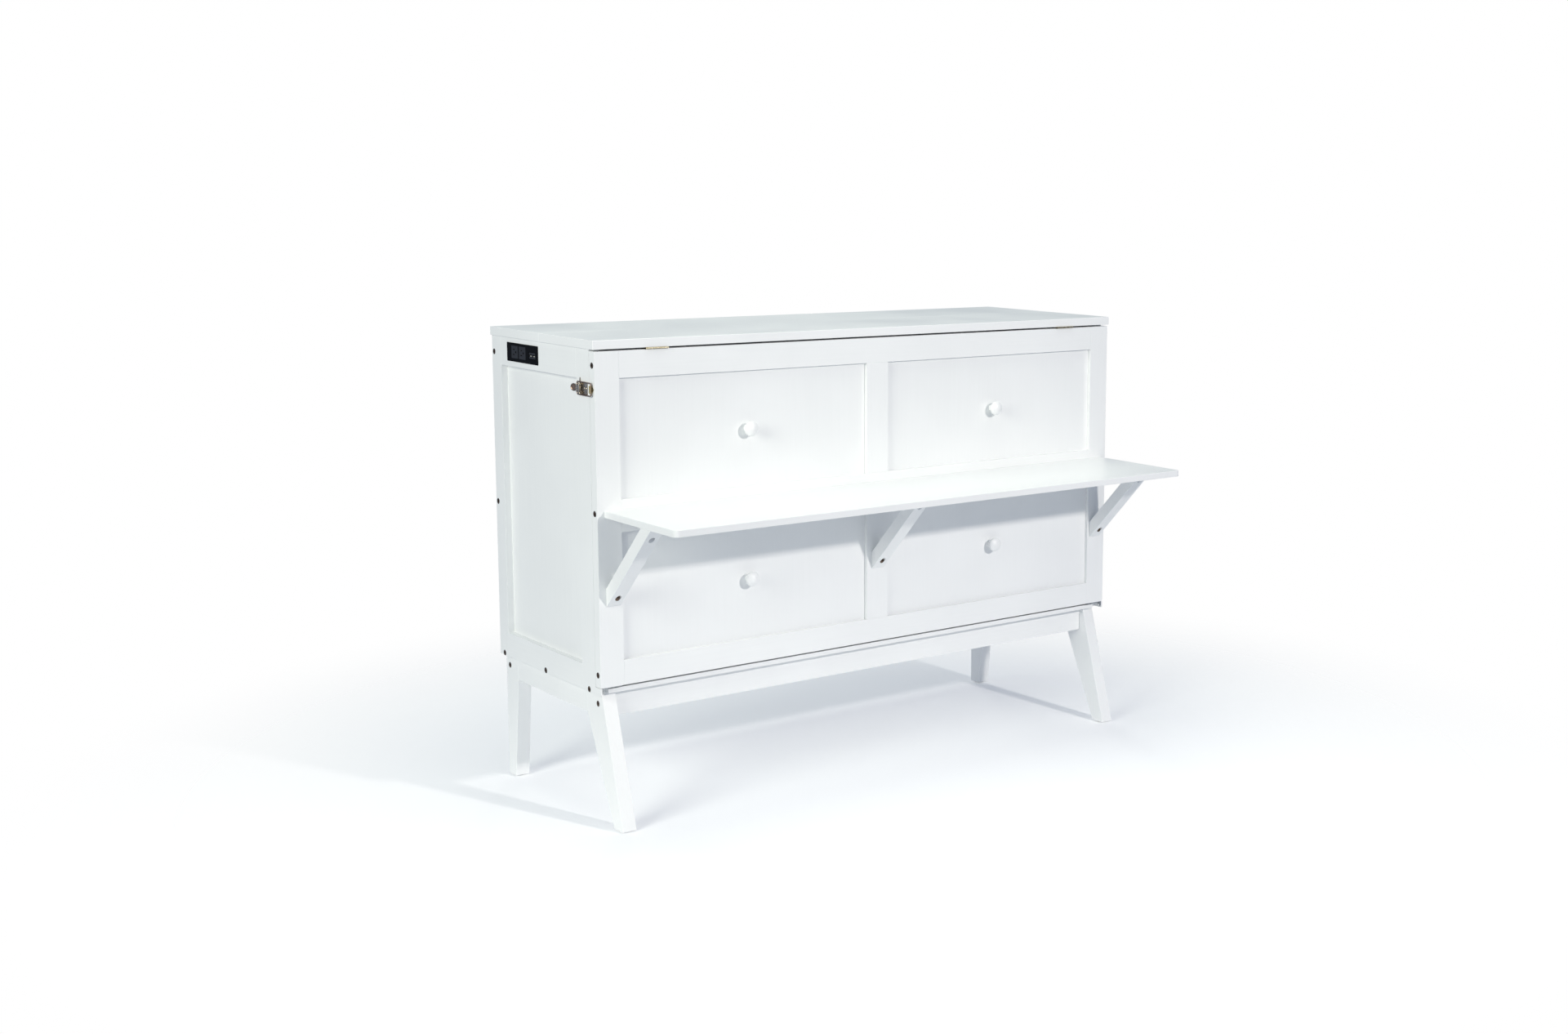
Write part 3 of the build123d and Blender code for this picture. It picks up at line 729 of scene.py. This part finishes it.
def latch_thumb_lever():
    """The lever: a pressed channel on two rolled eyes, with a neck to its thumb plate."""
    plate = latch_thumb_plate(Vector((lever_low.x + 3.2 * MM, lever_high.y - 13 * MM, latch_z)))
    channel_low = (lever_low.x + 1 * MM, lever_low.y + 0.3 * MM, latch_z - 8 * MM)
    channel = block(channel_low, (lever_low.x + 6.5 * MM, loop_pin_y + 5 * MM, latch_z + 8 * MM))
    select_faces(channel, lambda centre, normal: normal.x > 0.9)
    bpy.ops.mesh.delete(type="FACE")
    bpy.ops.object.mode_set(mode="OBJECT")
    sheet = channel.modifiers.new("sheet", "SOLIDIFY")
    sheet.thickness = 1.1 * MM
    ease_edges(channel, 0.4 * MM)
    neck_low = (lever_low.x + 3.4 * MM, loop_pin_y + 3 * MM, latch_z - 5 * MM)
    neck = block(neck_low, (lever_low.x + 5 * MM, lever_high.y - 20 * MM, latch_z + 5 * MM))
    ease_edges(neck, 0.4 * MM)
    channel.data.materials.append(aged_nickel)
    neck.data.materials.append(aged_nickel)
    parts = [plate, channel, neck]
    for y, length in ((pivot_y, 21 * MM), (loop_pin_y, 20 * MM)):
        bpy.ops.mesh.primitive_cylinder_add(
            vertices=24, radius=3.2 * MM, depth=length, location=(lever_low.x + 3.5 * MM, y, latch_z)
        )
        eye = bpy.context.object
        ease_edges(eye, 0.6 * MM)
        eye.data.materials.append(aged_nickel)
        parts.append(eye)
    return join("latch_thumb_lever_left", parts)


def latch_wire_loop():
    """The loop: one length of wire bent into a round-cornered rectangle."""
    middle = (loop_low + loop_high) / 2
    bpy.ops.mesh.primitive_plane_add(size=1, rotation=(0, math.pi / 2, 0), location=middle)
    loop = bpy.context.object
    across, along = (loop_high.z - loop_low.z) - 2 * WIRE, (loop_high.y - loop_low.y) - 2 * WIRE
    loop.scale = (across, along, 1)
    apply_all(loop)
    bpy.ops.object.mode_set(mode="EDIT")
    bpy.ops.mesh.select_all(action="SELECT")
    bpy.ops.mesh.bevel(offset=4.5 * MM, segments=7, affect="VERTICES")
    bpy.ops.mesh.select_all(action="SELECT")
    bpy.ops.mesh.delete(type="ONLY_FACE")
    bpy.ops.object.mode_set(mode="OBJECT")
    bpy.ops.object.convert(target="CURVE")
    loop.data.bevel_depth = WIRE
    loop.data.bevel_resolution = 5
    bpy.ops.object.convert(target="MESH")
    loop = bpy.context.object
    loop.data.materials.append(worn_nickel)
    return join("latch_wire_loop_left", [loop])


def latch_keeper_hook():
    """The keeper: a pointed plate with a rolled bar that the loop pulls on."""
    low, high = solids_of("latch_keepers")[0]
    middle = (low + high) / 2
    bpy.ops.mesh.primitive_cylinder_add(
        vertices=4, radius=15.5 * MM, depth=PLATE, rotation=(0, math.pi / 2, 0)
    )
    plate = bpy.context.object
    plate.scale = (1, 0.71, 1)
    apply_all(plate)
    plate.data.transform(Matrix.Translation((high.x - PLATE / 2, middle.y, middle.z)))
    ease_edges(plate, 0.5 * MM)
    plate.data.materials.append(aged_nickel)
    half = Vector(((high.x - low.x) / 2 - 1.8 * MM, 3 * MM, 9 * MM))
    strap_middle = middle + Vector((0.8, -1, 0)) * MM
    strap = block(strap_middle - half, strap_middle + half)
    ease_edges(strap, 0.8 * MM, segments=3)
    bar_middle = (low.x + 3 * MM, middle.y - 1 * MM, middle.z)
    bpy.ops.mesh.primitive_cylinder_add(
        vertices=28, radius=3 * MM, depth=18 * MM, location=bar_middle
    )
    bar = bpy.context.object
    ease_edges(bar, 0.8 * MM, segments=3)
    for part in (strap, bar):
        part.data.materials.append(olive_brass)
    return join("latch_keeper_hook_left", [plate, strap, bar])


def mirrored(piece, name):
    """The right-hand copy of a left-hand piece, with its own mesh."""
    copy = bpy.data.objects.new(name, piece.data.copy())
    bpy.context.scene.collection.objects.link(copy)
    copy.data.transform(Matrix.Scale(-1, 4, (1, 0, 0)))
    copy.data.flip_normals()
    bpy.context.view_layer.objects.active = copy
    bpy.ops.mesh.customdata_custom_splitnormals_clear()
    even_shading(copy)
    return copy


for make, node, body in (
    (latch_base_plate, "latch_bases", "cabinet"),
    (latch_keeper_hook, "latch_keepers", "front_panel"),
    (latch_thumb_lever, "latch_lever", "latch_lever"),
    (latch_wire_loop, "latch_loop", "latch_loop"),
):
    left = make()
    right = mirrored(left, left.name.replace("_left", "_right"))
    for piece, side in ((left, "left"), (right, "right")):
        shared = node.endswith("s")
        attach(piece, body if shared else f"{body}_{side}")
        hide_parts(node if shared else f"{node}_{side}")


# ---- Studio -------------------------------------------------------------------------
# A plain pale floor under a plain pale sky, with a key light in front and to the right that
# throws the shelf's shadow, a broad one overhead, and weaker ones on the left and low behind.
bpy.ops.mesh.primitive_plane_add(size=6)
floor = bpy.context.object
floor.name = "studio_floor"
floor_paint, floor_tree, floor_shader = new_finish("plain_pale_floor", roughness=0.9)
floor_shader.inputs["Base Color"].default_value = linear("#EDEFF2")
floor_shader.inputs["Specular IOR Level"].default_value = 0.0
floor_shader.inputs["Emission Color"].default_value = linear("#FFFFFF")
floor_shader.inputs["Emission Strength"].default_value = 0.17
# The floor thins out to nothing between these distances from the cabinet's middle, so that
# it meets the sky without a horizon.
from_middle = add_node(
    floor_tree,
    "ShaderNodeVectorMath",
    {"operation": "LENGTH"},
    None,
    {"Vector": add_node(floor_tree, "ShaderNodeTexCoord").outputs["Object"]},
)
fade = add_node(
    floor_tree,
    "ShaderNodeMapRange",
    {"interpolation_type": "SMOOTHSTEP"},
    {"From Min": 0.8, "From Max": 2.2, "To Min": 1.0, "To Max": 0.0},
    {"Value": from_middle.outputs["Value"]},
)
floor_tree.links.new(fade.outputs["Result"], floor_shader.inputs["Alpha"])
floor.data.materials.append(floor_paint)

# The sky looks plain white, but lights the cabinet with a third of that, slightly blue, so
# that white lacquer keeps its shading.
world = bpy.data.worlds.new("white_sky")
bpy.context.scene.world = world
world.use_nodes = True
sky = world.node_tree
background = sky.nodes["Background"]
seen = add_node(sky, "ShaderNodeLightPath").outputs["Is Camera Ray"]
strength = add_node(sky, "ShaderNodeMapRange", None, {"To Min": 0.34, "To Max": 1.0}, {"Value": seen})
tint = add_node(
    sky,
    "ShaderNodeMix",
    {"data_type": "RGBA"},
    {6: linear("#D3E3FF"), 7: linear("#FFFFFF")},
    {"Factor": seen},
)
sky.links.new(tint.outputs[2], background.inputs["Color"])
sky.links.new(strength.outputs["Result"], background.inputs["Strength"])


def soft_light(name, place, aim, size, power, tint):
    """A square soft light of one tint that faces a point."""
    bpy.ops.object.light_add(type="AREA", location=place)
    light = bpy.context.object
    light.name = name
    light.data.size = size
    light.data.energy = power
    light.data.color = linear(tint)[:3]
    light.visible_camera = False
    light.rotation_euler = (Vector(aim) - Vector(place)).to_track_quat("-Z", "Y").to_euler()


cabinet_middle = (cad_low + cad_high) / 2
soft_light("front_key_light", (1.0, -4.6, 2.55), cabinet_middle, 0.22, 121, "#FFF8F0")
soft_light("overhead_soft_light", (0, 0, 3.7), cabinet_middle, 2.5, 51, "#FCFFEE")
soft_light("rear_soft_light", (2.2, 4.2, 0.75), cabinet_middle, 1.0, 42, "#FFFBF2")
soft_light("left_soft_light", (-4.4, -1.2, 2.1), cabinet_middle, 2.0, 126, "#FEFDEE")

bpy.ops.object.camera_add(location=(-2.9437, -4.1611, 1.5534))
camera = bpy.context.object
aim = Euler((math.radians(81.709), 0, math.radians(-40.263))).to_matrix()
camera.rotation_euler = (aim @ Matrix.Rotation(math.radians(0.677), 3, "Z")).to_euler()
camera.data.sensor_width = 36
camera.data.lens = 43.72
camera.data.shift_x = -0.1491
camera.data.shift_y = -0.0321
camera.data.clip_end = 100
bpy.context.scene.camera = camera
bpy.context.scene.view_settings.view_transform = "Standard"
